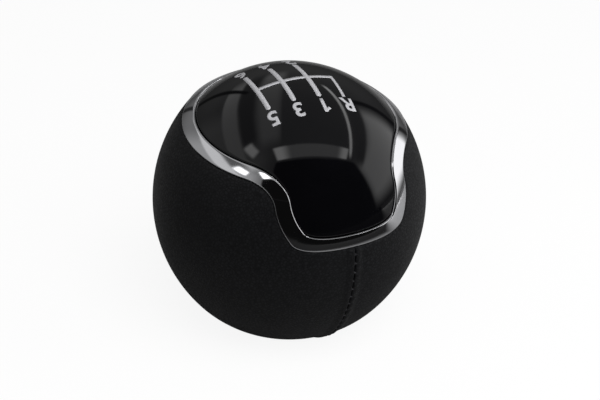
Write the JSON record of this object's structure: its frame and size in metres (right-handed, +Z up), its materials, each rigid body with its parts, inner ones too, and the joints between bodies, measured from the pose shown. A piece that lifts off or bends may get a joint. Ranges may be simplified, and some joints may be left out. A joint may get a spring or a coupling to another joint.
{
  "type": "gear shift knob",
  "caption": "Ball-shaped gear shift knob with a leather cover, a gloss black cap that dips in a tongue at the front, a wavy bright trim ring and a push-on lever bore.",
  "frame": {"origin": "centre of the collar's base face, on the axis of the lever bore", "axes": "+Z up along the lever's axis, out of the dome; -Y the front, where the cap dips in a tongue; +X to the right seen from the front"},
  "size_m": [0.052, 0.0522, 0.0503],
  "materials": {
    "leather": "satin, fine grain",
    "thread": "matt twisted thread",
    "trim": "mirror",
    "gloss_cap": "high gloss with a pale printed shift pattern",
    "carrier_plastic": "moulded",
    "core_plastic": "moulded",
    "socket_metal": "turned",
    "sleeve_plastic": "moulded",
    "clip_steel": "spring steel",
    "pad_rubber": "soft",
    "collar_plastic": "fine moulded texture",
    "screw_steel": "zinc plated"
  },
  "bodies": {
    "root": {"leather_cover": "leather", "seam_thread": "thread", "trim_ring": "trim", "top_cap": "gloss_cap", "cap_carrier": "carrier_plastic", "core_left": "core_plastic", "core_right": "core_plastic", "lever_socket": "socket_metal", "adapter_sleeve": "sleeve_plastic", "retaining_clip": "clip_steel", "lever_pad": "pad_rubber", "bottom_collar": "collar_plastic", "core_screw_1": "screw_steel", "core_screw_2": "screw_steel", "core_screw_3": "screw_steel", "core_screw_4": "screw_steel", "carrier_screw_1": "screw_steel", "carrier_screw_2": "screw_steel", "carrier_screw_3": "screw_steel", "carrier_screw_4": "screw_steel", "collar_screw_1": "screw_steel", "collar_screw_2": "screw_steel", "collar_screw_3": "screw_steel"}
  },
  "joints": []
}
